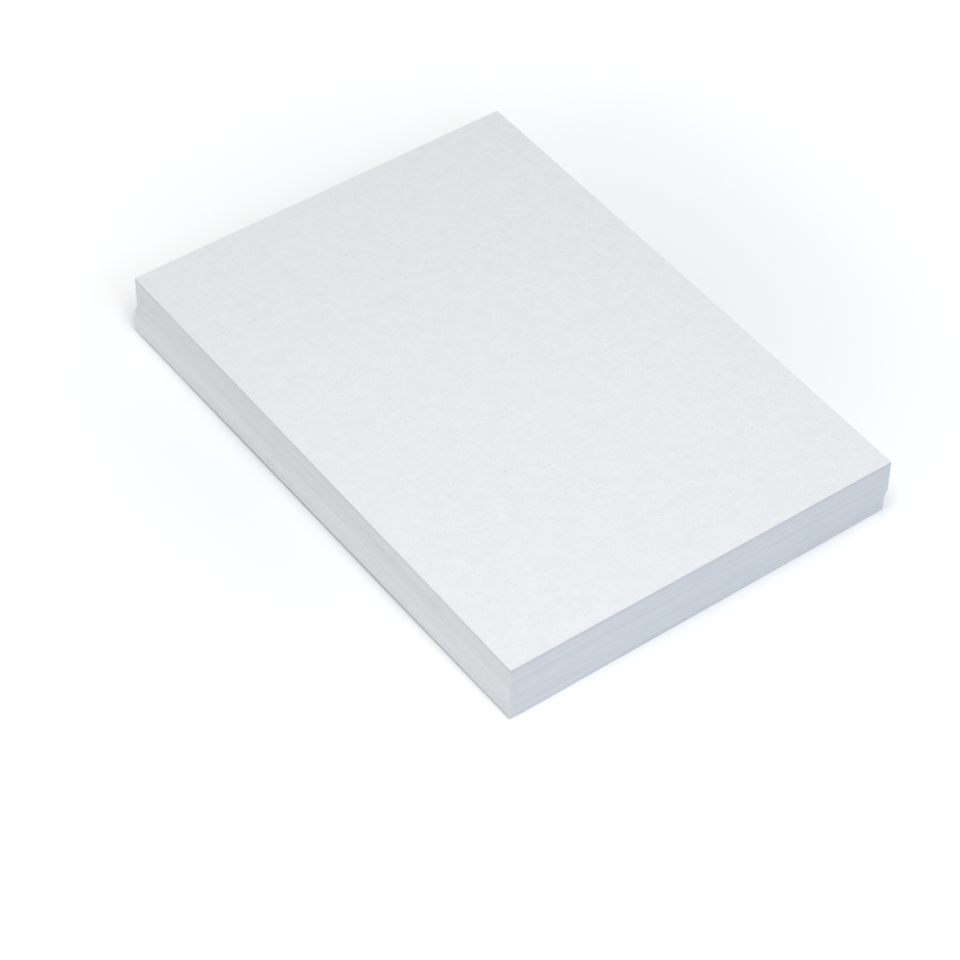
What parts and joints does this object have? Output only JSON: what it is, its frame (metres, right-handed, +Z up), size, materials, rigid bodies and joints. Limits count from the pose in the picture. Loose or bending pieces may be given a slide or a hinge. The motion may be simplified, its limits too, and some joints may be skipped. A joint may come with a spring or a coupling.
{
  "type": "ream of paper",
  "caption": "Unwrapped pack of plain A4 paper: flat sheets stacked edge to edge, with the lowest ones turned slightly about one corner. Rests flat, and another pack can lie on it.",
  "frame": {"origin": "middle of the pack's outline, on the surface that it stands on", "axes": "+X along the sheets' short edges, +Y along their long edges, +Z up through the sheets. The sheets are turned about the corner at low X and low Y."},
  "size_m": [0.2126, 0.299, 0.032],
  "materials": {
    "paper": "uncoated, matte, bright white"
  },
  "bodies": {
    "root": {"sheet_stack": "paper"}
  },
  "joints": []
}
